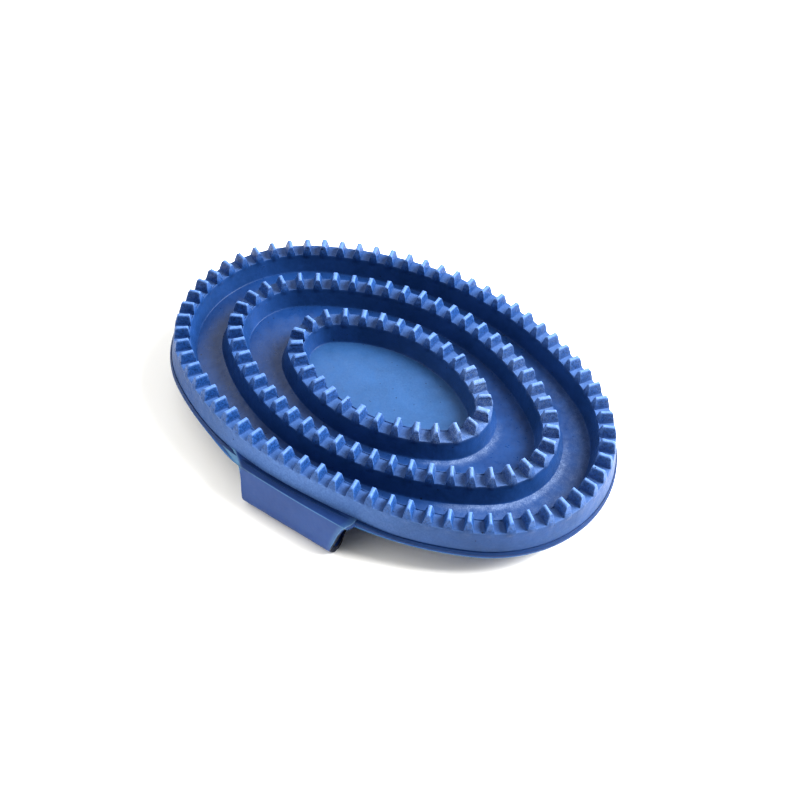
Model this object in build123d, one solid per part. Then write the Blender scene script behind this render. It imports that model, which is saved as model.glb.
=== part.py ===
from build123d import *
import math
import os

# Rubber curry comb, millimetres, +Z up.
# The comb lies on its folded hand strap with the teeth up: z = 0 is the strap's underside,
# x runs along the oval face, y across it, and the middle of the face is at x = y = 0.

# Heights above the surface that the strap rests on
PLATE_BACK_Z = 11.0
PLATE_THICKNESS = 3.7
RIDGE_HEIGHT = 6.8
TOOTH_HEIGHT = 4.2
PLATE_TOP_Z = PLATE_BACK_Z + PLATE_THICKNESS
RIDGE_TOP_Z = PLATE_TOP_Z + RIDGE_HEIGHT

# The comb stands on its middle, so its two ends hang a little: the whole face follows this radius
DOME_RADIUS = 1450.0

# Centre lines of the three ridges: half length, half width, radius of the rounded ends, middle in y
OUTER_OVAL = (80.0, 53.4, 43.4, 0.0)
MIDDLE_OVAL = (61.2, 37.7, 24.1, -0.5)
INNER_OVAL = (36.5, 22.0, 14.6, -1.0)

# Ridge walls lean outward from the narrow top to the wide foot
RIDGE_TOP_HALF = 2.75
RIDGE_FOOT_HALF = 4.55
RIDGE_SPARE = 4.0

# The plate ends in a rim that stands a little way out from the foot of the outer ridge
RIM_INSIDE = 3.0
RIM_OUTSIDE = 4.9

# Teeth: count on each ridge, and where the first one stands as a share of one step;
# each wedge is thinner and shorter at its tip, and its foot is cut to the domed top of the ridge
OUTER_TEETH, OUTER_PHASE = 66, 0.68
MIDDLE_TEETH, MIDDLE_PHASE = 48, 0.78
INNER_TEETH, INNER_PHASE = 28, 0.51
TOOTH_BASE_THICK = 3.2
TOOTH_TIP_THICK = 1.0
TOOTH_TIP_HALF = 2.25
TOOTH_SUNK = 0.4

# Hand strap: two halves, one from each long side, folded under the plate and buttoned together
STRAP_THICK = 2.5
STRAP_MIDDLE_X = 1.5
STRAP_ROOT_HALF = 22.5
STRAP_BAND_HALF = 18.3
STRAP_TIP_HALF = 16.5
STRAP_TIP_RADIUS = 7.0
ROOT_FLARE = 7.0
ROOT_HOLLOW = (1.7, 3.6)
STRAP_TOP_Z = PLATE_BACK_Z + STRAP_THICK
LAYER_GAP = 0.2
HOLE_BAND_Z = 0.0
STUD_BAND_Z = STRAP_THICK + LAYER_GAP
HOLE_BEND_RADIUS = 5.0
STUD_BEND_RADIUS = 4.2
STRAP_REACH_Y = 64.0
HOLE_ROOT_Y = STRAP_REACH_Y - HOLE_BEND_RADIUS
STUD_ROOT_Y = STRAP_REACH_Y - STUD_BEND_RADIUS
HOLE_BAND_TIP_Y = 16.0
STUD_BAND_TIP_Y = -2.0

# Studs and the sunk holes that they button into
STUD_X = 9.0
STUD_Y = 6.0
STUD_STEM_RADIUS = 2.2
STUD_HEAD_RADIUS = 4.5
STUD_HEAD_Z = (0.15, 1.25)
STUD_HEAD_ROUNDING = 0.5
HOLE_RADIUS = 2.5
HOLE_DISH_RADIUS = 5.2
HOLE_DISH_DEPTH = 1.35
HOLE_ROWS_Y = (6.0, -6.0, -18.0)

# How far the working solids reach past what is cut from them, in y and across the strap
REACH = 20.0
REACH_ACROSS = 80.0


def side_radius(half_length, half_width, end_radius):
    """Radius of the oval's long sides, tangent to its rounded ends."""
    reach = half_length**2 + half_width**2 - 2 * half_length * end_radius
    return reach / (2 * (half_width - end_radius))


def oval_wire(oval, out, z):
    """A four-arc oval, parallel to the given one at a distance out, at height z."""
    a, b, r = (size + out for size in oval[:3])
    side = side_radius(a, b, r)
    joint = math.degrees(math.atan2(side - b, a - r))
    arcs = [
        CenterArc((a - r, 0), r, -joint, 2 * joint),
        CenterArc((0, b - side), side, joint, 180 - 2 * joint),
        CenterArc((r - a, 0), r, 180 - joint, 2 * joint),
        CenterArc((0, side - b), side, 180 + joint, 180 - 2 * joint),
    ]
    return Pos(0, oval[3], z) * Wire(arcs)


def oval_block(oval, out_low, out_high, z_low, z_high):
    """A solid between two parallel ovals, straight or leaning."""
    low = Face(oval_wire(oval, out_low, z_low))
    high = Face(oval_wire(oval, out_high, z_high))
    return loft([low, high], ruled=True)


def below_dome(z):
    """Everything under the gently domed surface that passes through (0, 0, z)."""
    width = 4 * OUTER_OVAL[1]
    return Pos(0, 0, z - DOME_RADIUS) * Rot(90, 0, 0) * Cylinder(DOME_RADIUS, width)


def dome_drop(x):
    """How far the domed surface has fallen at x."""
    return DOME_RADIUS - math.sqrt(DOME_RADIUS**2 - x**2)


def between_domes(solid, z_low, z_high):
    return (solid & below_dome(z_high)) - below_dome(z_low)


def base_plate():
    block = oval_block(OUTER_OVAL, RIM_INSIDE, RIM_INSIDE, 0, RIDGE_TOP_Z)
    return between_domes(block, PLATE_BACK_Z, PLATE_TOP_Z)


def plate_rim():
    outside = oval_block(OUTER_OVAL, RIM_OUTSIDE, RIM_OUTSIDE, 0, RIDGE_TOP_Z)
    inside = oval_block(OUTER_OVAL, RIM_INSIDE, RIM_INSIDE, -1, RIDGE_TOP_Z + 1)
    return between_domes(outside - inside, PLATE_BACK_Z, PLATE_TOP_Z)


def ridge(oval):
    """An oval wall on the plate, leaning from its narrow top to the full width of its foot."""
    lean = (RIDGE_FOOT_HALF - RIDGE_TOP_HALF) / RIDGE_HEIGHT
    foot = RIDGE_FOOT_HALF + lean * RIDGE_SPARE
    top = RIDGE_TOP_HALF - lean * RIDGE_SPARE / 2
    z_low = PLATE_TOP_Z - RIDGE_SPARE
    z_high = RIDGE_TOP_Z + RIDGE_SPARE / 2
    outside = oval_block(oval, foot, top, z_low, z_high)
    inside = oval_block(oval, -foot, -top, z_low, z_high)
    widest = oval_block(oval, RIDGE_FOOT_HALF, RIDGE_FOOT_HALF, z_low, z_high)
    narrowest = oval_block(oval, -RIDGE_FOOT_HALF, -RIDGE_FOOT_HALF, z_low, z_high)
    wall = (outside & widest) - inside - narrowest
    return between_domes(wall, PLATE_TOP_Z, RIDGE_TOP_Z)


def oval_point(oval, share):
    """The point a share of the way round the oval from +X, and the angle of its outward normal."""
    a, b, r, middle_y = oval
    side = side_radius(a, b, r)
    joint = math.atan2(side - b, a - r)
    end_arc = r * joint
    quarter = end_arc + side * (math.pi / 2 - joint)
    lap = (share % 1.0) * 4 * quarter
    quadrant = int(lap // quarter)
    along = lap % quarter
    if quadrant in (1, 3):
        along = quarter - along
    if along < end_arc:
        angle = along / r
        x = a - r + r * math.cos(angle)
        y = r * math.sin(angle)
    else:
        angle = joint + (along - end_arc) / side
        x = side * math.cos(angle)
        y = b - side + side * math.sin(angle)
    sign_x = -1 if quadrant in (1, 2) else 1
    sign_y = -1 if quadrant in (2, 3) else 1
    normal = math.atan2(sign_y * math.sin(angle), sign_x * math.cos(angle))
    return sign_x * x, sign_y * y + middle_y, math.degrees(normal)


def tooth():
    """One wedge, thin at the tip, its length along X across the ridge; its foot runs below z = 0."""
    grow = 1 + TOOTH_SUNK / TOOTH_HEIGHT
    half = TOOTH_TIP_HALF + (RIDGE_TOP_HALF - TOOTH_TIP_HALF) * grow
    thick = TOOTH_TIP_THICK + (TOOTH_BASE_THICK - TOOTH_TIP_THICK) * grow
    foot = Pos(0, 0, -TOOTH_SUNK) * Rectangle(2 * half, thick)
    tip = Pos(0, 0, TOOTH_HEIGHT) * Rectangle(2 * TOOTH_TIP_HALF, TOOTH_TIP_THICK)
    return loft([foot.face(), tip.face()], ruled=True)


def teeth(oval, count, phase):
    """The teeth of one ridge, evenly spaced, each square across it."""
    wedge = tooth()
    ground = below_dome(RIDGE_TOP_Z)
    solids = []
    for i in range(count):
        x, y, angle = oval_point(oval, (i + phase) / count)
        place = Pos(x, y, RIDGE_TOP_Z - dome_drop(x)) * Rot(0, 0, angle)
        solids.append((place * wedge - ground).solid())
    return Compound(solids)


def strap_root(side, root_y):
    """The web that carries the strap out from the rim, flared at both ends; side is -1 or +1 in y."""
    half = STRAP_ROOT_HALF
    flare = half + ROOT_FLARE
    inner = root_y - REACH / 2
    near_rim = root_y - ROOT_FLARE
    hollow = (half + ROOT_HOLLOW[0], root_y - ROOT_HOLLOW[1])
    outline = Wire([
        Line((-half, root_y), (half, root_y)),
        ThreePointArc((half, root_y), hollow, (flare, near_rim)),
        Line((flare, near_rim), (flare, inner)),
        Line((flare, inner), (-flare, inner)),
        Line((-flare, inner), (-flare, near_rim)),
        ThreePointArc((-flare, near_rim), (-hollow[0], hollow[1]), (-half, root_y)),
    ])
    web = extrude(Face(outline), STRAP_THICK)
    if side < 0:
        web = mirror(web, Plane.XZ)
    web = Pos(STRAP_MIDDLE_X, 0, PLATE_BACK_Z) * web
    return web - oval_block(OUTER_OVAL, RIM_OUTSIDE, RIM_OUTSIDE, 0, RIDGE_TOP_Z)


def strap_taper(band_z):
    """A tall block, as wide as the strap's root at the top and as its band at the bottom."""
    outline = Polyline(
        (STRAP_MIDDLE_X - STRAP_ROOT_HALF, STRAP_TOP_Z),
        (STRAP_MIDDLE_X - STRAP_BAND_HALF, band_z + STRAP_THICK),
        (STRAP_MIDDLE_X - STRAP_BAND_HALF, band_z),
        (STRAP_MIDDLE_X + STRAP_BAND_HALF, band_z),
        (STRAP_MIDDLE_X + STRAP_BAND_HALF, band_z + STRAP_THICK),
        (STRAP_MIDDLE_X + STRAP_ROOT_HALF, STRAP_TOP_Z),
        close=True,
    )
    face = Plane.XZ * make_face(outline)
    return extrude(face, REACH_ACROSS, both=True)


def bend(side, radius, centre_z, upper):
    """A quarter turn of the strap, from flat to upright or back."""
    ring = Circle(radius) - Circle(radius - STRAP_THICK)
    corner = Rectangle(radius, radius, align=(Align.MAX, Align.MIN if upper else Align.MAX))
    quarter = Plane.YZ * (ring & corner)
    solid = extrude(quarter, REACH_ACROSS, both=True)
    if side > 0:
        solid = mirror(solid, Plane.XZ)
    return Pos(0, side * (STRAP_REACH_Y - radius), centre_z) * solid


def strap_side(side, z_low, z_high):
    """The upright stretch of the strap between its two bends."""
    middle_y = side * (STRAP_REACH_Y - STRAP_THICK / 2)
    height = z_high - z_low
    return Pos(0, middle_y, (z_low + z_high) / 2) * Box(2 * REACH_ACROSS, STRAP_THICK, height)


def folded_edge(name, side, radius, band_z):
    """The three nodes that take one strap half from its root down to its flat band."""
    taper = strap_taper(band_z)
    z_low = band_z + radius
    z_high = STRAP_TOP_Z - radius
    return {
        name + "_upper_bend": bend(side, radius, z_high, True) & taper,
        name + "_side": strap_side(side, z_low, z_high) & taper,
        name + "_lower_bend": bend(side, radius, z_low, False) & taper,
    }


def strap_band(root_y, tip_y, band_z):
    """The flat stretch of one strap half under the plate, narrowing to a round-cornered tip."""
    outline = Polyline(
        (-STRAP_BAND_HALF, root_y),
        (STRAP_BAND_HALF, root_y),
        (STRAP_TIP_HALF, tip_y),
        (-STRAP_TIP_HALF, tip_y),
        close=True,
    )
    face = make_face(outline)
    tips = [corner for corner in face.vertices() if abs(corner.Y - tip_y) < 1]
    face = fillet(tips, STRAP_TIP_RADIUS)
    return Pos(STRAP_MIDDLE_X, 0, band_z) * extrude(face, STRAP_THICK)


def hole_band():
    """The outer band, with pairs of holes sunk in shallow dishes on its underside."""
    band = strap_band(-HOLE_ROOT_Y, HOLE_BAND_TIP_Y, HOLE_BAND_Z)
    for y in HOLE_ROWS_Y:
        for x in (STRAP_MIDDLE_X - STUD_X, STRAP_MIDDLE_X + STUD_X):
            hole = Pos(x, y, STRAP_THICK / 2) * Cylinder(HOLE_RADIUS, 2 * STRAP_THICK)
            dish = Pos(x, y, 0) * Cylinder(HOLE_DISH_RADIUS, 2 * HOLE_DISH_DEPTH)
            band = band - hole - dish
    return band


def studs():
    """Two mushroom studs that hang from the inner band and fill one pair of holes."""
    head_low, head_high = STUD_HEAD_Z
    solids = []
    for x in (STRAP_MIDDLE_X - STUD_X, STRAP_MIDDLE_X + STUD_X):
        at_bottom = (Align.CENTER, Align.CENTER, Align.MIN)
        head = Cylinder(STUD_HEAD_RADIUS, head_high - head_low, align=at_bottom)
        head = fillet(head.edges().group_by(Axis.Z)[0], STUD_HEAD_ROUNDING)
        stem = Cylinder(STUD_STEM_RADIUS, STUD_BAND_Z - head_low, align=at_bottom)
        solids.append((Pos(x, STUD_Y, head_low) * (head + stem)).solid())
    return Compound(solids)


def nodes():
    """Every node of the comb by name."""
    made = {
        "base_plate": base_plate(),
        "plate_rim": plate_rim(),
        "outer_ridge": ridge(OUTER_OVAL),
        "middle_ridge": ridge(MIDDLE_OVAL),
        "inner_ridge": ridge(INNER_OVAL),
        "outer_ridge_teeth": teeth(OUTER_OVAL, OUTER_TEETH, OUTER_PHASE),
        "middle_ridge_teeth": teeth(MIDDLE_OVAL, MIDDLE_TEETH, MIDDLE_PHASE),
        "inner_ridge_teeth": teeth(INNER_OVAL, INNER_TEETH, INNER_PHASE),
        "hole_strap_root": strap_root(-1, HOLE_ROOT_Y),
        "hole_strap_band": hole_band(),
        "stud_strap_root": strap_root(1, STUD_ROOT_Y),
        "stud_strap_band": strap_band(STUD_ROOT_Y, STUD_BAND_TIP_Y, STUD_BAND_Z),
        "strap_studs": studs(),
    }
    made.update(folded_edge("hole_strap", -1, HOLE_BEND_RADIUS, HOLE_BAND_Z))
    made.update(folded_edge("stud_strap", 1, STUD_BEND_RADIUS, STUD_BAND_Z))
    return made


os.makedirs("parts", exist_ok=True)
for name, shape in nodes().items():
    export_step(shape, f"parts/{name}.step")
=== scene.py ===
import math

import bpy
import numpy as np
from mathutils import Matrix, Vector


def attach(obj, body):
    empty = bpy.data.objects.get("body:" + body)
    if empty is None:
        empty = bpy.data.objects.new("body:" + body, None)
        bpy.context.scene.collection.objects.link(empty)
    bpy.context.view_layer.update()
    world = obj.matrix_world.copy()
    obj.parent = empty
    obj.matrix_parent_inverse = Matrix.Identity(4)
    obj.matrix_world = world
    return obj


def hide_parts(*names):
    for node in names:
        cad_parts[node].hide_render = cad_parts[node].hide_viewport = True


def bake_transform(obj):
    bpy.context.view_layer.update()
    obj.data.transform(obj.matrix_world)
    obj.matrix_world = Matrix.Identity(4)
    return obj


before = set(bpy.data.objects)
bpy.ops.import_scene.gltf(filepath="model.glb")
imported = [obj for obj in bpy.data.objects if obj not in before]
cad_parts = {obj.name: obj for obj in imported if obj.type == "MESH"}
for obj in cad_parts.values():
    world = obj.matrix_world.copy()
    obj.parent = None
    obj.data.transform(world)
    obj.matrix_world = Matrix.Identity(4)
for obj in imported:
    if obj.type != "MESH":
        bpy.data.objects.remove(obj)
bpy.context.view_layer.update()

MM = 0.001
RNG = np.random.default_rng(41)

# ---- sizes shared with the CAD model, in millimetres ----
PLATE_BACK_Z = 11.0
PLATE_TOP_Z = 14.7
RIDGE_TOP_Z = 21.5
TOOTH_HEIGHT = 4.2
DOME_RADIUS = 1450.0
# each oval: half length, half width, radius of its two end arcs, and y of its middle
OUTER_OVAL = (80.0, 53.4, 43.4, 0.0)
MIDDLE_OVAL = (61.2, 37.7, 24.1, -0.5)
INNER_OVAL = (36.5, 22.0, 14.6, -1.0)
RIDGE_TOP_HALF = 2.75
RIDGE_FOOT_HALF = 4.55
STRAP_MIDDLE_X = 1.5
STRAP_THICK = 2.5
STRAP_ROOT_Z = 14.6
STRAP_UNDER_Z = STRAP_ROOT_Z - STRAP_THICK
HOLE_ROWS = (6.0, -6.0, -18.0)
STUD_COLUMNS = (STRAP_MIDDLE_X - 9.0, STRAP_MIDDLE_X + 9.0)
STUD_ROW = 6.0

# ---- sizes that only the visual model has, in millimetres ----
# where the face's edge is drawn in: middle x, half width along x, depth, y where it starts and how fast it grows
PULL_X, PULL_WIDTH, PULL_DEPTH, PULL_START_Y, PULL_RUN = 8.0, 25.0, 1.6, 38.0, 9.0
PLATE_EDGE_OUT = 3.4
RIPPLE_TOP, RIPPLE_BACK = 0.05, 0.03
BACK_SINK = 0.12
# the strap's root reaches this far along x to each side, and fades over this run
ROOT_REACH, ROOT_FADE = 39, 20
# the lip's flare to the left of the strap: how far it stands out, middle x and half width
FLARE_OUT, FLARE_X, FLARE_WIDTH = 1.1, -23, 11
BAND_EDGE = 0.5
FOLD_STEPS = 48
FOLD_BOW = 0.5
CREASE_INSIDE = 1.8
WEB_CORNER_X = -18.5
BAND_HALF_START, BAND_HALF_TIP = 18.0, 16.5
TIP_ROUNDING = 7.0
HOLE_RADIUS, DISH_RADIUS, DISH_DEPTH = 2.5, 5.2, 1.35


# ---- oval geometry ----
def arcs(oval):
    """Radius of the side arcs, the angle where the end arcs meet them, and the lengths of end arc and quarter."""
    a, b, r = oval[:3]
    side = (a * a + b * b - 2 * a * r) / (2 * (b - r))
    joint = math.atan2(side - b, a - r)
    return side, joint, r * joint, r * joint + side * (math.pi / 2 - joint)


def oval_lap(oval):
    return 4 * arcs(oval)[3]


def quarter_place(oval, s):
    """Which quarter of the oval each distance s lies in, and how far it is from that quarter's pointed end."""
    quarter = arcs(oval)[3]
    lap = np.mod(s, 4 * quarter)
    quadrant = np.minimum((lap // quarter).astype(int), 3)
    along = lap - quadrant * quarter
    return quadrant, np.where(quadrant % 2 == 1, quarter - along, along)


def oval_at(oval, s, out):
    """Points at distance s along the oval's centre line and a distance out from it."""
    a, b, r, middle_y = oval
    side, joint, end_arc, _ = arcs(oval)
    quadrant, along = quarter_place(oval, s)
    on_end = along < end_arc
    angle = np.where(on_end, along / r, joint + (along - end_arc) / side)
    x = np.where(on_end, a - r + (r + out) * np.cos(angle), (side + out) * np.cos(angle))
    y = np.where(on_end, (r + out) * np.sin(angle), b - side + (side + out) * np.sin(angle))
    sign_x = np.where((quadrant == 1) | (quadrant == 2), -1, 1)
    sign_y = np.where(quadrant >= 2, -1, 1)
    return sign_x * x, sign_y * y + middle_y


def curve_radius(oval, s):
    side, _, end_arc, _ = arcs(oval)
    return np.where(quarter_place(oval, s)[1] < end_arc, oval[2], side)


def offset_from(oval, x, y):
    """How far points lie outside an oval's centre line."""
    a, b, r, middle_y = oval
    side, joint = arcs(oval)[:2]
    x, y = np.abs(x), np.abs(y - middle_y)
    on_end = np.arctan2(y, x - (a - r)) < joint
    return np.where(on_end & (x > a - r), np.hypot(x - (a - r), y) - r, np.hypot(x, y + side - b) - side)


def bell(t):
    return np.exp(-(t**2))


def smooth(t):
    t = np.clip(t, 0, 1)
    return t * t * (3 - 2 * t)


def pulled(points, share=1.0):
    """Near the strap's front root the edge of the face is drawn in a little."""
    x, y = points[..., 0], points[..., 1]
    draw = PULL_DEPTH * bell((x - PULL_X) / PULL_WIDTH) * smooth((-y - PULL_START_Y) / PULL_RUN)
    points[..., 1] += draw * share
    return points


def over_root(x):
    """1 over the strap's root, falling to 0 where its wings have run out along the lip."""
    return smooth((ROOT_REACH - np.abs(x - STRAP_MIDDLE_X)) / ROOT_FADE)


def domed(points):
    """Lets the face fall gently toward its two ends."""
    points[..., 2] -= points[..., 0] ** 2 / (2 * DOME_RADIUS)
    return points


# ---- meshes ----
def grid_mesh(name, points, wrap_u, wrap_v, masks=None, cap_u=False, sharp=35.0):
    """A mesh from a grid of points (u, v, xyz) in millimetres, with named values per vertex."""
    nu, nv = points.shape[:2]
    index = np.arange(nu * nv).reshape(nu, nv)
    a = index if wrap_u else index[:-1]
    b = np.roll(index, -1, 0) if wrap_u else index[1:]
    if wrap_v:
        c, d = np.roll(b, -1, 1), np.roll(a, -1, 1)
    else:
        a, b, c, d = a[:, :-1], b[:, :-1], b[:, 1:], a[:, 1:]
    quads = np.stack([a, b, c, d], -1).reshape(-1, 4)
    faces = [tuple(q) for q in quads.tolist()]
    if cap_u:
        faces.append(tuple(index[0].tolist()))
        faces.append(tuple(index[-1][::-1].tolist()))
    flat = points.reshape(-1, 3)
    # the signed volume says whether the faces look outward
    centre = flat.mean(axis=0)
    p, q, r, t = (flat[quads[:, k]] - centre for k in range(4))
    volume = (np.cross(p, q) * r).sum() + (np.cross(p, r) * t).sum()
    if volume < 0:
        faces = [face[::-1] for face in faces]
    mesh = bpy.data.meshes.new(name)
    mesh.from_pydata((flat * MM).tolist(), [], faces)
    mesh.validate()
    mesh.polygons.foreach_set("use_smooth", [True] * len(mesh.polygons))
    mesh.set_sharp_from_angle(angle=math.radians(sharp))
    store(mesh, "rest", flat, "FLOAT_VECTOR")
    for key, values in (masks or {}).items():
        store(mesh, key, np.broadcast_to(values, (nu, nv)).reshape(-1), "FLOAT")
    obj = bpy.data.objects.new(name, mesh)
    bpy.context.collection.objects.link(obj)
    return obj


def store(mesh, name, values, kind):
    attribute = mesh.attributes.new(name, kind, "POINT")
    key = "vector" if kind == "FLOAT_VECTOR" else "value"
    attribute.data.foreach_set(key, np.ascontiguousarray(values, np.float32).reshape(-1))


def tooth_profile(worn):
    """Half of a tooth's side view: distance from its middle and drop from its crest, down to the gap."""
    tip = 0.66 + 0.32 * worn
    rounding = 1.0 + 0.9 * worn
    crest = [(0.0, 0.0), (0.5 * tip, 0.07 * rounding), (0.82 * tip, 0.22 * rounding), (tip, 0.48 * rounding)]
    flank = [(0.84, 0.95), (1.02, 1.6), (1.22, 2.4), (1.40, 3.2), (1.49, 3.75), (1.55, 4.08), (1.60, TOOTH_HEIGHT)]
    return np.array(crest + flank)


def wall_rows(outer_side):
    """One wall in section from its foot to just under the top: distance out and height below the top."""
    if outer_side:
        rows = [(3.3, -8.3), (3.82, -8.2), (4.12, -7.9), (4.06, -7.2)]
        rows += [(3.82, -5.8), (3.48, -3.9), (3.20, -2.3)]
    else:
        lean = (RIDGE_FOOT_HALF - RIDGE_TOP_HALF) / (RIDGE_TOP_Z - PLATE_TOP_Z)
        rows = [(5.0, -6.95), (4.85, -6.84), (4.70, -6.72), (4.60, -6.52), (4.45, -6.0)]
        rows += [(RIDGE_TOP_HALF + lean * down, -down) for down in (4.3, 2.9, 2.0)]
    rows += [(3.04, -1.25), (2.92, -0.7)]
    return np.array(rows)


def draw_tooth(worn):
    """The unevenness of one tooth: height, thickness, lean, tilt, end roundings, dished gap and swollen ends."""
    tall = TOOTH_HEIGHT * (1 - 0.035 * RNG.random() - 0.03 * worn * RNG.random())
    thick = 1 + 0.09 * np.clip(RNG.standard_normal(), -2, 2) * (1 + worn)
    lean = 0.10 * RNG.standard_normal() * (1 + worn)
    tilt = 0.06 * RNG.standard_normal()
    corner = (1.55 + 0.2 * RNG.standard_normal(), 0.95 + 0.15 * RNG.standard_normal())
    corner = np.clip(corner, 0.6, 2.0) * (1 + 0.35 * worn)
    dish = 0.24 + 0.05 * RNG.standard_normal()
    bleed = 0.32 + 0.05 * RNG.standard_normal()
    return tall, thick, lean, tilt, corner, dish, bleed


def swollen(loop, bleed, u):
    """Distance out along a station: the ends of a tooth swell out a little over the wall."""
    out, up = loop[:, 0], loop[:, 1]
    swell = bleed * math.exp(-((u / 1.25) ** 2)) * smooth((up + 1.4) / 0.9)
    swell = swell * smooth((2.6 - up) / 2.6)
    return out + np.sign(out) * swell * (np.abs(out) > 2.2)


def ridge_masks(loop, x, y, tall, gap, worn, outer):
    """Where one station of a ridge is painted pale (worn tooth crests, paler tooth ends, a painted highlight on the
    gap rims, painted light on the gap tops and a painted reflection on the outer wall, strongest at its front), how
    far up a tooth it lies, and how dusty it is.
    """
    out, up = np.abs(loop[:, 0]), loop[:, 1]
    crest = smooth((up - (tall - 0.75)) / 0.7)
    # a painted highlight along the rims of the gaps, and painted light on the gap tops
    gap_rim = gap * smooth((out - 2.3) / 0.35) * smooth((up + 0.5) / 0.4)
    edge = smooth((out - 1.6) / 0.8) * smooth((up - 0.8) / 1.4) * 0.42
    gap_top = 0.45 * gap * smooth((2.6 - out) / 0.4) * smooth((up + 0.9) / 0.4)
    painted_light = 0.0
    # a painted reflection of the bright floor on the outer wall, strongest on its front near the strap
    if outer:
        front_reflection = bell((x - 2) / 36) * (y < 0)
        on_wall = smooth((loop[:, 0] - 2.4) / 0.4)
        painted_light = (0.1 + 0.9 * front_reflection) * on_wall * smooth((up + 8.2) / 1.5)
    dusty = (0.25 + worn) * smooth((x - 12) / 22) * smooth((y + 34) / 14) + 0.15 * worn
    return {
        "wear_and_painted_light": np.clip(crest + edge + 0.25 * gap_rim + gap_top + painted_light, 0, 1),
        "height": smooth((up + 0.3) / 1.0) * (1 - 0.3 * gap),
        "dust_and_sheen": np.clip(dusty, 0, 1) * smooth((up + 1) / 1.5),
    }


def ridge_with_teeth(name, oval, count, phase, worn, outer=False):
    """An oval wall and its row of wedge teeth as one moulded surface."""
    pitch = oval_lap(oval) / count
    profile = tooth_profile(worn)
    foot_u = profile[-1, 0]
    gap_u = np.linspace(foot_u, pitch / 2, 4)[1:]
    half_u = np.concatenate([profile[:, 0], gap_u])
    half_drop = np.concatenate([profile[:, 1], np.full(3, TOOTH_HEIGHT)])
    u_line = np.concatenate([-half_u[:0:-1], half_u[:-1]])
    drop_line = np.concatenate([half_drop[:0:-1], half_drop[:-1]])
    in_gap = np.clip((np.abs(u_line) - foot_u * 0.9) / (foot_u * 0.1), 0, 1)

    out_wall = wall_rows(outer)
    in_wall = wall_rows(False)
    stations = []
    masks = {"wear_and_painted_light": [], "height": [], "dust_and_sheen": []}
    for i in range(count):
        tall, thick, lean, tilt, corner, dish, bleed = draw_tooth(worn)
        centre = (i + phase) * pitch
        for u, drop, gap in zip(u_line, drop_line, in_gap):
            peak = tall * (1 - drop / TOOTH_HEIGHT)
            u_here = u * (1 + (thick - 1) * max(0.0, 1 - (u / foot_u) ** 2))
            loop = section(peak, gap, out_wall, in_wall, corner, dish)
            out = swollen(loop, bleed, u)
            high = np.clip(loop[:, 1] / TOOTH_HEIGHT, 0, 1)
            radius = curve_radius(oval, np.full(len(loop), centre))
            scale = radius / (radius + out)
            along = np.abs(u_here) * scale
            if abs(u) > foot_u:
                share = (abs(u) - foot_u) / (pitch / 2 - foot_u)
                along = foot_u * scale * (1 - share) + pitch / 2 * share
            s = centre + math.copysign(1, u) * along + lean * high**1.4
            x, y = oval_at(oval, s, out + tilt * high * 2)
            stations.append(np.stack([x, y, RIDGE_TOP_Z + loop[:, 1]], -1))
            for key, values in ridge_masks(loop, x, y, tall, gap, worn, outer).items():
                masks[key].append(values)
    points = np.array(stations)
    if outer:
        points = pulled(points)
    masks = {key: np.array(values) for key, values in masks.items()}
    return grid_mesh(name, domed(points), True, True, masks, sharp=50)


def section(peak, gap, out_wall, in_wall, corner, dish):
    """The closed section of the ridge at one station: rows of distance out and height over its top."""
    def end_face(h, lean):
        return RIDGE_TOP_HALF - lean * h if h > 0 else RIDGE_TOP_HALF - 0.22 * h

    def half(wall, radius, lean):
        start = wall[-1]
        floor = TOOTH_HEIGHT - radius
        least = 0.14
        rise = run = least
        if peak > floor + least:
            rise = min(peak - floor, radius)
            run = max(radius * (1 - math.sqrt(max(0.0, 1 - (rise / radius) ** 2))), least)
        end_h = peak - rise
        rows = [tuple(row) for row in wall]
        for k in range(1, 5):
            h = start[1] + (end_h - start[1]) * k / 4
            rows.append((min(end_face(h, lean), start[0]), h))
        last = rows[-1][0]
        for k in range(1, 5):
            turn = math.pi / 2 * k / 4
            rows.append((last - run * (1 - math.cos(turn)), end_h + rise * math.sin(turn)))
        return rows

    out_rows = half(out_wall, corner[0], 0.17)
    in_rows = [(-d, h) for d, h in half(in_wall, corner[1], 0.10)]
    d_out, d_in = out_rows[-1][0], in_rows[-1][0]
    across = []
    for share, sag in ((0.12, 0.35), (0.35, 0.65), (0.62, 0.9), (0.86, 1.15), (0.95, 1.1), (0.98, 0.25)):
        d = d_out + (d_in - d_out) * share
        crown = 0.05 * (1 - gap) * (1 - (2 * share - 1) ** 2)
        across.append((d, peak - dish * gap * sag - crown))
    return np.array(out_rows + across + in_rows[::-1])


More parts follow.
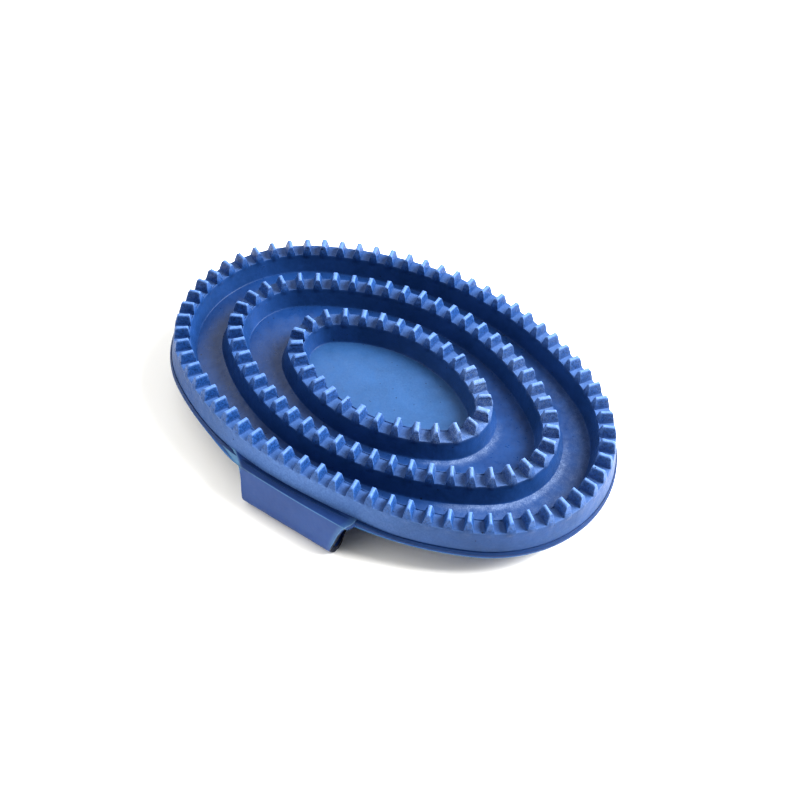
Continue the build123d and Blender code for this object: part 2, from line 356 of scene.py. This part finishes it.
def plate():
    """The oval plate: the three floors on top, and the slightly sunk back."""
    count = 420
    lap = oval_lap(OUTER_OVAL)
    s = np.arange(count) * lap / count
    edge_x, edge_y = oval_at(OUTER_OVAL, s, np.full(count, PLATE_EDGE_OUT))
    back_z = PLATE_BACK_Z + BACK_SINK
    rows = [(share, PLATE_TOP_Z) for share in np.concatenate([[0.004], np.linspace(0.03, 1.0, 56)])]
    rows += [(share, back_z) for share in np.linspace(1.0, 0.03, 30)] + [(0.004, back_z)]
    points = np.zeros((len(rows), count, 3))
    for j, (share, z) in enumerate(rows):
        points[j, :, 0] = edge_x * share
        points[j, :, 1] = edge_y * share
        points[j, :, 2] = z
    edge_share = (np.array([share for share, z in rows]) ** 4)[:, None]
    points = pulled(points, edge_share)
    x, y = points[..., 0], points[..., 1]
    waves = ripple(x, y)
    top = points[..., 2] > PLATE_TOP_Z - 0.1
    points[..., 2] += np.where(top, waves * RIPPLE_TOP - RIPPLE_TOP, waves * RIPPLE_BACK)

    def beside(oval, out, width):
        return bell((offset_from(oval, x, y) - out) / width)

    # pale bands along the feet of the ridges toward the comb's right end, partly dust and partly a painted
    # reflection, and painted light on the inner floor
    foot_out = 5.6
    dust_and_sheen = beside(MIDDLE_OVAL, foot_out, 1.5) * smooth((x - 36) / 20) * smooth((24 - y) / 22)
    dust_and_sheen += beside(INNER_OVAL, foot_out, 1.4) * smooth((x - 24) / 12) * smooth((12 - y) / 14)
    dust_and_sheen += 0.25 * beside(OUTER_OVAL, -7, 4) * smooth((x - 30) / 20)
    painted_light = 0.30 * smooth((-2.5 - offset_from(INNER_OVAL, x, y)) / 3) * top
    masks = {"dust_and_sheen": np.clip(dust_and_sheen, 0, 1) * top, "wear_and_painted_light": painted_light}
    return grid_mesh("comb_plate", domed(points), False, True, masks, cap_u=True, sharp=60)


def ripple(x, y):
    """A slow, shallow unevenness of a moulded rubber surface."""
    total = np.sin(x * 0.21 + 1.3 * np.sin(y * 0.13)) * np.sin(y * 0.27 + 0.8 * np.sin(x * 0.09))
    return 0.6 * total + 0.4 * np.sin(x * 0.47 + 2.0) * np.sin(y * 0.39 + 0.7 + 0.5 * np.sin(x * 0.2))


def rim():
    """The lip round the plate: a soft groove under the wall, a fine step, and a rounded bead."""
    count = 720
    lap = oval_lap(OUTER_OVAL)
    s = np.arange(count) * lap / count
    # distance out and height above the plate's back, away from the strap and then at its roots
    rows = [
        (3.0, 0.0, 3.0, 0.0), (3.8, 0.0, 3.8, 0.0), (4.3, 0.05, 4.3, 0.05), (4.62, 0.2, 4.7, 0.2),
        (4.80, 0.42, 5.1, 0.6), (4.87, 0.7, 5.35, 1.3), (4.89, 0.95, 5.48, 2.2), (4.88, 1.2, 5.5, 2.8),
        (4.85, 1.5, 5.5, 3.3), (4.82, 1.8, 5.5, 3.56), (4.73, 2.0, 5.48, 3.7), (4.66, 2.12, 5.42, 3.79),
        (4.60, 2.16, 5.3, 3.82), (4.56, 2.34, 5.0, 3.76), (4.48, 2.54, 4.6, 3.72), (4.38, 2.68, 4.35, 3.70),
        (4.28, 2.70, 4.2, 3.66), (4.20, 2.58, 4.12, 3.58), (4.14, 2.36, 4.0, 3.55), (3.9, 2.3, 3.7, 3.6),
        (3.4, 2.3, 3.2, 3.6), (3.0, 2.3, 2.6, 3.6),
    ]
    points = np.zeros((len(rows), count, 3))
    for j, (out, up, root_out, root_up) in enumerate(rows):
        x, y = oval_at(OUTER_OVAL, s, np.full(count, out))
        near = over_root(x) * smooth((np.abs(y) - 40) / 8)
        low_on_lip = smooth((out - 3.8) / 0.8)
        flare = FLARE_OUT * bell((x - FLARE_X) / FLARE_WIDTH) * (y < 0) * low_on_lip
        flare = flare * smooth((2.6 - root_up) / 1.2)
        x, y = oval_at(OUTER_OVAL, s, out + (root_out - out) * near + flare)
        points[j, :, 0] = x
        points[j, :, 1] = y
        points[j, :, 2] = PLATE_BACK_Z + up + (root_up - up) * near
    # painted highlights on the lip's lower edge and its step, and painted shade from just under the step into the
    # groove
    lower_edge, step, shaded_rows = slice(3, 6), slice(11, 13), slice(8, None)
    wear_and_painted_light = np.zeros((len(rows), count))
    wear_and_painted_light[lower_edge] = 0.8
    wear_and_painted_light[step] = 0.15
    painted_shade = np.zeros((len(rows), count))
    painted_shade[shaded_rows] = 0.4
    masks = {"wear_and_painted_light": wear_and_painted_light, "painted_shade": painted_shade}
    return grid_mesh("comb_rim", domed(pulled(points)), True, True, masks, sharp=60)


def ribbon(name, stations):
    """A rubber band through stations: outer and inner (y, z), left and right x, bow, sinking wings, painted
    highlight.
    """
    loops = []
    for outer, inner, left, right, bow, sink, _ in stations:
        outer, inner = np.array(outer), np.array(inner)
        middle, half = (left + right) / 2, (right - left) / 2
        loop = []
        for x, t in band_outline(half, STRAP_THICK, BAND_EDGE):
            y, z = inner + (outer - inner) * (t / STRAP_THICK + 0.5)
            y -= math.copysign(bow * ((middle + x - 5.0) / 22.0) ** 2, y)
            z -= sink * (1 - over_root(middle + x))
            if bow and t > 0 and middle + x < WEB_CORNER_X:
                z = min(z, max(corner_height(middle + x, abs(y)), STRAP_UNDER_Z + 0.3))
            loop.append((middle + x, y, max(z, 0.0)))
        loops.append(loop)
    points = np.array(loops)
    x, y, z = points[..., 0], np.abs(points[..., 1]), points[..., 2]
    right_edge = np.array([station[3] for station in stations])[:, None]
    wear_and_painted_light = np.array([station[-1] for station in stations])[:, None]
    # painted highlights: the sloping corner facet of the web, which catches the light, and a thin line on the edge
    # on the right
    sloping = smooth((STRAP_ROOT_Z - 0.05 - corner_height(x, y)) / 0.2)
    wear_and_painted_light = wear_and_painted_light + 0.9 * (z > 12.3) * (x < WEB_CORNER_X) * (y < 59.8) * sloping
    wear_and_painted_light = wear_and_painted_light + 0.7 * bell((x - right_edge + 0.33) / 0.22) * smooth((z - 3.5) / 3.0)
    # painted shade: the crease beside the lip, which lies in the wall's shadow, and the cut face at the right-hand
    # end of the fold, in shadow under the plate
    fold_shade = (z > STRAP_ROOT_Z - 0.9) * (y < 59.4) * (x > -20) * 0.35
    cut_end_shade = 0.92 * smooth((x - right_edge + 0.28) / 0.2)
    cut_end_shade = cut_end_shade * smooth((12.5 - z) / 2.0) * smooth((y - 40) / 8)
    masks = {"wear_and_painted_light": wear_and_painted_light, "painted_shade": np.maximum(fold_shade, cut_end_shade)}
    return grid_mesh(name, points, False, True, masks, cap_u=True, sharp=50)


def corner_height(x, y):
    """Height of the sloping facet where the web's left corner comes down to the lip."""
    return STRAP_ROOT_Z + 0.276 * (x + 20.0) + 0.367 * (57.5 - y)


def band_outline(half, thick, edge):
    """The section of a band: x across it and t through it, well rounded outside and crisper inside."""
    t = thick / 2
    # closer points on the left, where the web's corner slopes down
    left_part = -half + edge + 8
    across = np.concatenate([np.linspace(-half + edge, left_part, 15)[:-1], np.linspace(left_part, half - edge, 20)])
    rows = [(x, t) for x in across]
    crisp = 0.3 * edge
    for side, radius in ((1, edge), (-1, crisp)):
        for k in range(5):
            a = math.pi / 2 * (k / 4 if side > 0 else 1 - k / 4)
            rows.append((half - radius + radius * math.sin(a), side * (t - radius + radius * math.cos(a))))
    rows += [(x, -t) for x in across[::-1]]
    for side, radius in ((-1, crisp), (1, edge)):
        for k in range(5):
            a = math.pi / 2 * (k / 4 if side < 0 else 1 - k / 4)
            rows.append((-half + radius - radius * math.sin(a), side * (t - radius + radius * math.cos(a))))
    return rows


# ---- materials ----
def shader(name):
    material = bpy.data.materials.new(name)
    material.use_nodes = True
    tree = material.node_tree
    tree.nodes.clear()
    out = tree.nodes.new("ShaderNodeOutputMaterial")
    bsdf = tree.nodes.new("ShaderNodeBsdfPrincipled")
    tree.links.new(bsdf.outputs[0], out.inputs[0])
    return material, tree, bsdf


def node(tree, kind, inputs=None, **settings):
    made = tree.nodes.new(kind)
    for key, value in settings.items():
        setattr(made, key, value)
    for key, value in (inputs or {}).items():
        socket = made.inputs[key]
        if isinstance(value, bpy.types.NodeSocket):
            tree.links.new(value, socket)
        else:
            socket.default_value = value
    return made


def attribute(tree, name, vector=False):
    made = node(tree, "ShaderNodeAttribute", attribute_name=name)
    return made.outputs["Vector" if vector else "Fac"]


def noise(tree, where, scale, detail=4.0, rough=0.55, distort=0.0):
    made = node(tree, "ShaderNodeTexNoise", {"Vector": where, "Scale": scale, "Detail": detail,
                                            "Roughness": rough, "Distortion": distort})
    return made.outputs["Fac"]


def ramp(tree, value, low, high, to_low=0.0, to_high=1.0):
    made = node(tree, "ShaderNodeMapRange", {"Value": value, "From Min": low, "From Max": high,
                                            "To Min": to_low, "To Max": to_high})
    return made.outputs[0]


def math_node(tree, operation, a, b=0.0):
    return node(tree, "ShaderNodeMath", {0: a, 1: b}, operation=operation).outputs[0]


def mix(tree, factor, a, b):
    made = tree.nodes.new("ShaderNodeMix")
    made.data_type = "RGBA"
    for key, value in ((0, factor), (6, a), (7, b)):
        if isinstance(value, bpy.types.NodeSocket):
            tree.links.new(value, made.inputs[key])
        else:
            made.inputs[key].default_value = value
    return made.outputs[2]


def rubber(name, deep, light, worn, roughness, grain, ior):
    """Satin moulded rubber: uneven blue, a mottled skin on the teeth, pale where it is worn or dusty, pale under
    painted highlights, painted light and painted reflections, and dark under painted shade.
    """
    material, tree, bsdf = shader(name)
    where = attribute(tree, "rest", vector=True)
    cloud = noise(tree, where, 0.09, 5.0, 0.6, 0.4)
    mottle = noise(tree, where, 0.6, 6.0, 0.6)
    blotch = noise(tree, where, 1.5, 5.0, 0.7, 0.3)
    speck = noise(tree, where, 3.6, 3.0, 0.6)
    colour = mix(tree, ramp(tree, cloud, 0.32, 0.7), deep, light)
    colour = mix(tree, ramp(tree, mottle, 0.45, 0.75, 0.0, 0.35), colour, light)
    on_tooth = attribute(tree, "height")
    paler = tuple(1.6 * c for c in light[:3]) + (1,)
    skin = mix(tree, ramp(tree, blotch, 0.40, 0.60), deep, paler)
    colour = mix(tree, math_node(tree, "MULTIPLY", on_tooth, 0.85), colour, skin)
    wear_and_painted_light = attribute(tree, "wear_and_painted_light")
    # pale on real wear and on painted highlights, painted light and painted reflections
    pale_mix = math_node(tree, "MULTIPLY", wear_and_painted_light, ramp(tree, blotch, 0.30, 0.65, 0.6, 1.0))
    colour = mix(tree, pale_mix, colour, worn)
    # pale dust, which along the ridge feet is also a painted reflection
    dust_and_sheen = attribute(tree, "dust_and_sheen")
    cover = math_node(tree, "MULTIPLY", dust_and_sheen, ramp(tree, speck, 0.42, 0.66, 0.12, 0.85))
    cover = math_node(tree, "MULTIPLY", cover, ramp(tree, mottle, 0.35, 0.6, 0.35, 1.0))
    colour = mix(tree, cover, colour, DUST_AND_SHEEN)
    # painted shade: dark in the strap's crease and cut end and in the lip's groove
    colour = mix(tree, attribute(tree, "painted_shade"), colour, PAINTED_SHADE_COLOUR)
    grit = noise(tree, where, 0.85, 1.0, 0.4)
    colour = mix(tree, ramp(tree, grit, 0.77, 0.79, 0.0, 0.8), colour, SPECK)
    tree.links.new(colour, bsdf.inputs["Base Color"])
    rough = ramp(tree, mottle, 0.3, 0.75, roughness - 0.06, roughness + 0.1)
    rough = math_node(tree, "ADD", rough, math_node(tree, "MULTIPLY", wear_and_painted_light, 0.12))
    rough = math_node(tree, "ADD", rough, math_node(tree, "MULTIPLY", dust_and_sheen, 0.2))
    tree.links.new(rough, bsdf.inputs["Roughness"])
    bsdf.inputs["IOR"].default_value = ior
    fine = noise(tree, where, 1.7, 5.0, 0.65)
    rougher = ramp(tree, on_tooth, 0.0, 1.0, 0.4 * grain, grain)
    bump = node(tree, "ShaderNodeBump", {"Height": fine, "Strength": rougher, "Distance": 0.00022})
    wide = noise(tree, where, 0.22, 2.0, 0.5)
    bump2 = node(tree, "ShaderNodeBump", {"Height": wide, "Strength": 0.6, "Distance": 0.0004,
                                         "Normal": bump.outputs[0]})
    tree.links.new(bump2.outputs[0], bsdf.inputs["Normal"])
    return material


# pale colour for dust and for the painted reflection along the ridge feet
DUST_AND_SHEEN = (0.20, 0.27, 0.42, 1)
# dark colour of painted shade
PAINTED_SHADE_COLOUR = (0.0025, 0.004, 0.009, 1)
SPECK = (0.003, 0.004, 0.006, 1)
BODY = rubber("body_rubber", deep=(0.0065, 0.030, 0.110, 1), light=(0.011, 0.046, 0.155, 1),
              worn=(0.06, 0.16, 0.30, 1), roughness=0.31, grain=0.15, ior=1.40)
RIM = rubber("rim_rubber", deep=(0.008, 0.036, 0.135, 1), light=(0.011, 0.046, 0.170, 1),
             worn=(0.05, 0.17, 0.36, 1), roughness=0.42, grain=0.15, ior=1.22)
TOOTH = rubber("tooth_rubber", deep=(0.0065, 0.030, 0.100, 1), light=(0.012, 0.046, 0.155, 1),
               worn=(0.09, 0.175, 0.40, 1), roughness=0.42, grain=0.8, ior=1.25)
# the strap is the same rubber as the comb, painted lighter so that its panel in the plate's shadow looks lit
STRAP_PAINTED_LIGHTER = rubber("strap_rubber", deep=(0.011, 0.044, 0.170, 1), light=(0.014, 0.053, 0.195, 1),
               worn=(0.09, 0.22, 0.36, 1), roughness=0.38, grain=0.12, ior=1.36)


# ---- camera, floor, light ----
CAMERA_LENS = 60.3
CAMERA_RIGHT = (0.8247291, 0.5629226, 0.0542228)
CAMERA_UP = (-0.4451391, 0.5870325, 0.6761982)
CAMERA_BACK = (0.3488167, -0.5818170, 0.7347216)
CAMERA_PLACE_MM = (168.375, -272.828, 355.459)


def camera():
    data = bpy.data.cameras.new("camera")
    data.lens = CAMERA_LENS
    data.sensor_width = 36.0
    data.clip_start = 0.01
    obj = bpy.data.objects.new("camera", data)
    bpy.context.collection.objects.link(obj)
    axes = (Vector(CAMERA_RIGHT), Vector(CAMERA_UP), Vector(CAMERA_BACK))
    turn = Matrix(axes).transposed().to_4x4()
    obj.matrix_world = Matrix.Translation(Vector(CAMERA_PLACE_MM) * MM) @ turn
    bpy.context.scene.camera = obj


def area_light(name, place, aim, size, power, colour=(1, 1, 1)):
    data = bpy.data.lights.new(name, "AREA")
    data.shape = "RECTANGLE"
    data.size, data.size_y = size
    data.energy = power
    data.color = colour
    obj = bpy.data.objects.new(name, data)
    bpy.context.collection.objects.link(obj)
    place, aim = Vector(place), Vector(aim)
    obj.location = place
    obj.rotation_euler = (aim - place).to_track_quat("-Z", "Y").to_euler()


# brighter and darker parts of the surroundings: direction, cosine where it starts and is full, how much it adds
LOBES = (
    ((-0.84, -0.48, 0.25), 0.3, 0.95, 1.8),
    ((0.35, -0.58, 0.73), 0.62, 0.93, -1.0),
    ((0.25, 0.72, 0.65), 0.60, 0.92, -0.6),
    ((0.50, -0.86, 0.05), 0.70, 1.0, -0.8),
)


def studio():
    scene = bpy.context.scene
    scene.view_settings.view_transform = "Standard"
    scene.view_settings.look = "Medium High Contrast"
    world = bpy.data.worlds.new("studio")
    scene.world = world
    world.use_nodes = True
    tree = world.node_tree
    tree.nodes.clear()
    out = tree.nodes.new("ShaderNodeOutputWorld")
    back = tree.nodes.new("ShaderNodeBackground")
    tree.links.new(back.outputs[0], out.inputs[0])
    where = tree.nodes.new("ShaderNodeTexCoord").outputs["Generated"]
    strength = 1.0
    for direction, low, high, change in LOBES:
        toward = node(tree, "ShaderNodeVectorMath", {0: where, 1: direction}, operation="DOT_PRODUCT")
        added = ramp(tree, toward.outputs["Value"], low, high, 0.0, change)
        strength = math_node(tree, "ADD", strength, added)
    back.inputs[0].default_value = (1.0, 0.985, 0.955, 1)
    tree.links.new(math_node(tree, "MAXIMUM", strength, 0.03), back.inputs[1])

    area_light("back_softbox", (-0.72, 0.60, 0.85), (0, 0, 0), (0.5, 0.5), 1.2, (0.72, 0.82, 1.0))
    area_light("key", (0.68, 0.62, 0.82), (0, 0, 0), (0.8, 0.8), 56.0)

    bpy.ops.mesh.primitive_plane_add(size=8, location=(0, 0, 0))
    floor = bpy.context.object
    floor.name = "floor"
    material, tree, bsdf = shader("floor_paper")
    bsdf.inputs["Base Color"].default_value = (0.93, 0.925, 0.90, 1)
    bsdf.inputs["Roughness"].default_value = 0.9
    bsdf.inputs["Specular IOR Level"].default_value = 0.1
    floor.data.materials.append(material)


# ---- build ----
def dress(obj, material, slot, body, *nodes):
    obj.data.materials.append(material)
    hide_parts(*nodes)
    if body:
        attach(obj, body)
    return obj


def along_path(corners, steps):
    """A smooth line through (y, z) points, sampled evenly, with the angle of its outward normal."""
    corners = np.array(corners, float)
    lengths = np.concatenate([[0], np.cumsum(np.hypot(*np.diff(corners, axis=0).T))])
    tangents = np.gradient(corners, lengths, axis=0)
    line = []
    for t in np.linspace(0, lengths[-1], steps):
        k = min(int(np.searchsorted(lengths, t, side="right")) - 1, len(corners) - 2)
        span = lengths[k + 1] - lengths[k]
        f = (t - lengths[k]) / span
        h = (2 * f**3 - 3 * f**2 + 1, f**3 - 2 * f**2 + f, 3 * f**2 - 2 * f**3, f**3 - f**2)
        here, there = h[0] * corners[k] + h[1] * span * tangents[k], h[2] * corners[k + 1]
        line.append(here + there + h[3] * span * tangents[k + 1])
    line = np.array(line)
    ahead = np.gradient(line, axis=0)
    turn = np.arctan2(ahead[:, 0], -ahead[:, 1])
    return line, turn


def interp(x, table):
    table = np.array(table, float)
    return np.interp(x, table[:, 0], table[:, 1])


def fold_stations(outside, edges):
    """The folded part of a strap half, from the crease at its top to where it lies flat, and its heights."""
    line, turn = along_path(outside, FOLD_STEPS)
    crease_y = outside[0][0]
    fold = []
    for k, ((y, z), a) in enumerate(zip(line, turn)):
        inner_y, inner_z = y - math.cos(a) * STRAP_THICK, z - math.sin(a) * STRAP_THICK
        # near the crease the inside would turn back on itself, so it steps down evenly instead
        if inner_z > STRAP_UNDER_Z - 0.05 * k:
            inner_y, inner_z = crease_y - CREASE_INSIDE + 0.02 * k, STRAP_UNDER_Z - 0.05 * k
        bow = FOLD_BOW * smooth((z - 2) / 10)
        left, right = interp(z, edges["left"]), interp(z, edges["right"])
        fold.append([(y, z), (inner_y, inner_z), left, right, bow, 0, 0])
    fold[0][0] = (crease_y + 0.05, STRAP_ROOT_Z - 0.15)
    # a painted highlight along the crease
    fold[0][-1] = 0.6
    return fold, line[:, 1]


def web_stations(crease_y, left, right):
    """The web between the ridge and the crease: wider toward the ridge, with ends that sink to the lip."""
    web = []
    for back in np.concatenate([np.linspace(5.4, 0.6, 14), [0.35, 0.15, 0.03]]):
        at_crease = back < 0.1
        outer = (crease_y - back, STRAP_ROOT_Z - 0.03 * at_crease)
        inner = (crease_y - CREASE_INSIDE - back * 0.66, STRAP_UNDER_Z)
        wide = 0.6 * min(back / 0.3, 1) + 2.5 * back
        narrow = 0.9 * smooth(back / 3.2)
        sink = 0.4 * min(back / 0.5, 1)
        # the last value paints a highlight along the crease
        web.append([outer, inner, left - wide, right + narrow, FOLD_BOW, sink, 0.6 * at_crease])
    return web


def flat_stations(fold_end, start, low_z, band):
    """The flat band under the plate: it tapers to a tip with rounded corners."""
    tip_y = band["tip_y"]
    round_y = tip_y + TIP_ROUNDING
    flat = []
    ends = tip_y + TIP_ROUNDING * np.cos(np.linspace(0, math.pi / 2, 12))[1:]
    for y in np.concatenate([np.linspace(start, round_y, 50)[1:], ends]):
        share = smooth((start - y) / 12)
        half = BAND_HALF_START + (BAND_HALF_TIP - BAND_HALF_START) * (start - y) / (start - tip_y)
        into_corner = max(0.0, (round_y - y) / TIP_ROUNDING)
        rounding = TIP_ROUNDING * (1 - math.sqrt(max(0.0, 1 - into_corner**2)))
        left = fold_end[2] * (1 - share) + (STRAP_MIDDLE_X - half) * share + rounding
        waist = band["waist"] * math.exp(-(((start - y - 7) / 4) ** 2))
        right = fold_end[3] * (1 - share) + (STRAP_MIDDLE_X + half) * share - rounding - waist
        flat.append([(y, low_z), (y, low_z + STRAP_THICK), left, right, 0, 0, 0])
    return flat


def strap_half(prefix, side, outside, edges, band, upper_nodes, lower_nodes):
    """One half of the hand strap, as an upper and a lower piece that meet half way down its side."""
    start, low_z = outside[-1]
    fold, heights = fold_stations(outside, edges)
    web = web_stations(outside[0][0], fold[0][2], fold[0][3])
    flat = flat_stations(fold[-1], start, low_z, band)
    half_way = int(np.argmin(np.abs(heights - band["half_z"])))
    paths = {prefix + "_upper": web + fold[: half_way + 1], prefix + "_lower": fold[half_way:] + flat}
    made = []
    for name, path in paths.items():
        turned = [((side * o[0], o[1]), (side * i[0], i[1]), *rest) for o, i, *rest in path]
        made.append(ribbon(name, turned))
    if band["holes"]:
        pierce(made[1], low_z)
    dress(made[0], STRAP_PAINTED_LIGHTER, "strap_rubber", None, *upper_nodes)
    dress(made[1], STRAP_PAINTED_LIGHTER, "strap_rubber", None, *lower_nodes)
    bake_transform(made[0])
    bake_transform(made[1])


def pierce(obj, low_z):
    """Cuts the stud holes through the band, with a round dish for each head on its underside."""
    hole, dish = HOLE_RADIUS, DISH_RADIUS
    dish_z, top_z = low_z + DISH_DEPTH, low_z + STRAP_THICK
    profile = [(0.01, low_z - 1), (dish + 0.35, low_z - 1), (dish + 0.35, low_z - 0.05), (dish, low_z + 0.3),
               (dish - 0.05, dish_z - 0.3), (dish - 0.35, dish_z), (hole + 0.2, dish_z), (hole, dish_z + 0.2),
               (hole, top_z - 0.25), (hole + 0.3, top_z + 0.1), (hole + 0.3, low_z + 4), (0.01, low_z + 4)]
    centres = [(x, y) for y in HOLE_ROWS for x in STUD_COLUMNS]
    cutters = [lathe("cutter", profile, centre) for centre in centres]
    for cutter in cutters:
        cut = obj.modifiers.new("hole", "BOOLEAN")
        cut.operation = "DIFFERENCE"
        cut.solver = "EXACT"
        cut.object = cutter
    bpy.context.view_layer.update()
    shape = bpy.data.meshes.new_from_object(obj.evaluated_get(bpy.context.evaluated_depsgraph_get()))
    obj.modifiers.clear()
    old = obj.data
    obj.data = shape
    shape.name = old.name
    bpy.data.meshes.remove(old)
    for cutter in cutters:
        bpy.data.meshes.remove(cutter.data)
    where = np.zeros(len(shape.vertices) * 3)
    shape.vertices.foreach_get("co", where)
    where = where.reshape(-1, 3) / MM
    shape.attributes.remove(shape.attributes["rest"])
    store(shape, "rest", where, "FLOAT_VECTOR")
    # the boolean gives the walls of the holes the masks of unrelated vertices, so they are cleared there
    cleared = dish + 0.6
    round_a_hole = np.any([np.hypot(where[:, 0] - x, where[:, 1] - y) < cleared for x, y in centres], axis=0)
    for key in ("wear_and_painted_light", "painted_shade"):
        values = np.zeros(len(where))
        shape.attributes[key].data.foreach_get("value", values)
        shape.attributes[key].data.foreach_set("value", np.where(round_a_hole, 0.0, values))
    shape.polygons.foreach_set("use_smooth", [True] * len(shape.polygons))
    shape.set_sharp_from_angle(angle=math.radians(40))


def lathe(name, profile, centre, count=40):
    """A round solid from (radius, height) rows, standing at a centre (x, y)."""
    turns = np.arange(count) * 2 * math.pi / count
    points = np.array([[(centre[0] + r * math.cos(t), centre[1] + r * math.sin(t), z) for t in turns]
                       for r, z in profile])
    return grid_mesh(name, points, False, True, None, cap_u=True, sharp=40)


# (radius, height) rows of a mushroom stud: the head sits in the dish and the stem reaches up to the inner band
STUD_PROFILE = (
    (0.5, 0.15), (2.8, 0.17), (3.7, 0.29), (4.25, 0.53), (4.5, 0.8), (4.42, 1.1), (4.2, 1.25), (2.6, 1.25),
    (2.3, 1.4), (2.2, 1.8), (2.2, 2.5), (2.5, 2.72),
)

camera()
studio()

dress(plate(), BODY, "body_rubber", "comb", "base_plate")
dress(rim(), RIM, "body_rubber", "comb", "plate_rim")
dress(ridge_with_teeth("outer_ridge_moulding", OUTER_OVAL, 66, 0.68, 0.0, outer=True), TOOTH, "tooth_rubber",
      "comb", "outer_ridge", "outer_ridge_teeth")
dress(ridge_with_teeth("middle_ridge_moulding", MIDDLE_OVAL, 48, 0.78, 0.3), TOOTH, "tooth_rubber",
      "comb", "middle_ridge", "middle_ridge_teeth")
dress(ridge_with_teeth("inner_ridge_moulding", INNER_OVAL, 28, 0.51, 0.8), TOOTH, "tooth_rubber",
      "comb", "inner_ridge", "inner_ridge_teeth")

# where the outside of each folded half runs, (y, z), and where its edges lie, (z, x)
HOLE_FOLD = [(59.7, 14.6), (60.3, 12.9), (60.9, 11.1), (61.5, 9.2), (62.0, 7.3), (62.35, 5.6), (62.45, 4.4),
             (62.35, 3.2), (61.95, 2.0), (61.2, 1.0), (60.2, 0.3), (59.0, 0.02), (58.0, 0.0)]
HOLE_EDGES = {
    "left": [(0, -15.9), (2, -16.0), (5, -16.2), (7.6, -16.9), (9.7, -17.5), (12, -18.5), (13.4, -19.2),
             (14.6, -19.9)],
    "right": [(0, 20.8), (0.3, 20.9), (1.2, 20.5), (3, 20.3), (7.2, 21.4), (10.4, 22.1), (13.2, 22.9), (14.6, 24.0)],
}
HOLE_BAND = {"tip_y": -16.0, "half_z": 6.5, "bend_y": 59.0, "top_bend_z": 8.5, "low_bend_z": 5.0,
             "waist": 1.2, "holes": True}
STUD_FOLD = [(59.9, 14.6), (60.8, 13.0), (61.8, 11.3), (62.7, 9.6), (63.3, 8.1), (63.5, 6.9), (63.3, 5.6),
             (62.6, 4.3), (61.5, 3.3), (60.2, 2.75), (58.0, 2.7)]
STUD_EDGES = {
    "left": [(2.7, -16.4), (7, -17.1), (11, -18.0), (14.6, -19.4)],
    "right": [(2.7, 20.0), (7, 20.9), (11, 22.0), (14.6, 23.4)],
}
STUD_BAND = {"tip_y": -2.0, "half_z": 8.1, "bend_y": 59.8, "top_bend_z": 9.3, "low_bend_z": 6.9,
             "waist": 0.0, "holes": False}
strap_half("hole_strap", -1, HOLE_FOLD, HOLE_EDGES, HOLE_BAND,
           ["hole_strap_root", "hole_strap_upper_bend"],
           ["hole_strap_side", "hole_strap_lower_bend", "hole_strap_band"])
strap_half("stud_strap", 1, STUD_FOLD, STUD_EDGES, STUD_BAND,
           ["stud_strap_root", "stud_strap_upper_bend"],
           ["stud_strap_side", "stud_strap_lower_bend", "stud_strap_band"])
for i, x in enumerate(STUD_COLUMNS):
    stud = lathe(f"strap_stud_{i + 1}", STUD_PROFILE, (x, STUD_ROW))
    dress(stud, STRAP_PAINTED_LIGHTER, "strap_rubber", "stud_strap_flat", "strap_studs")
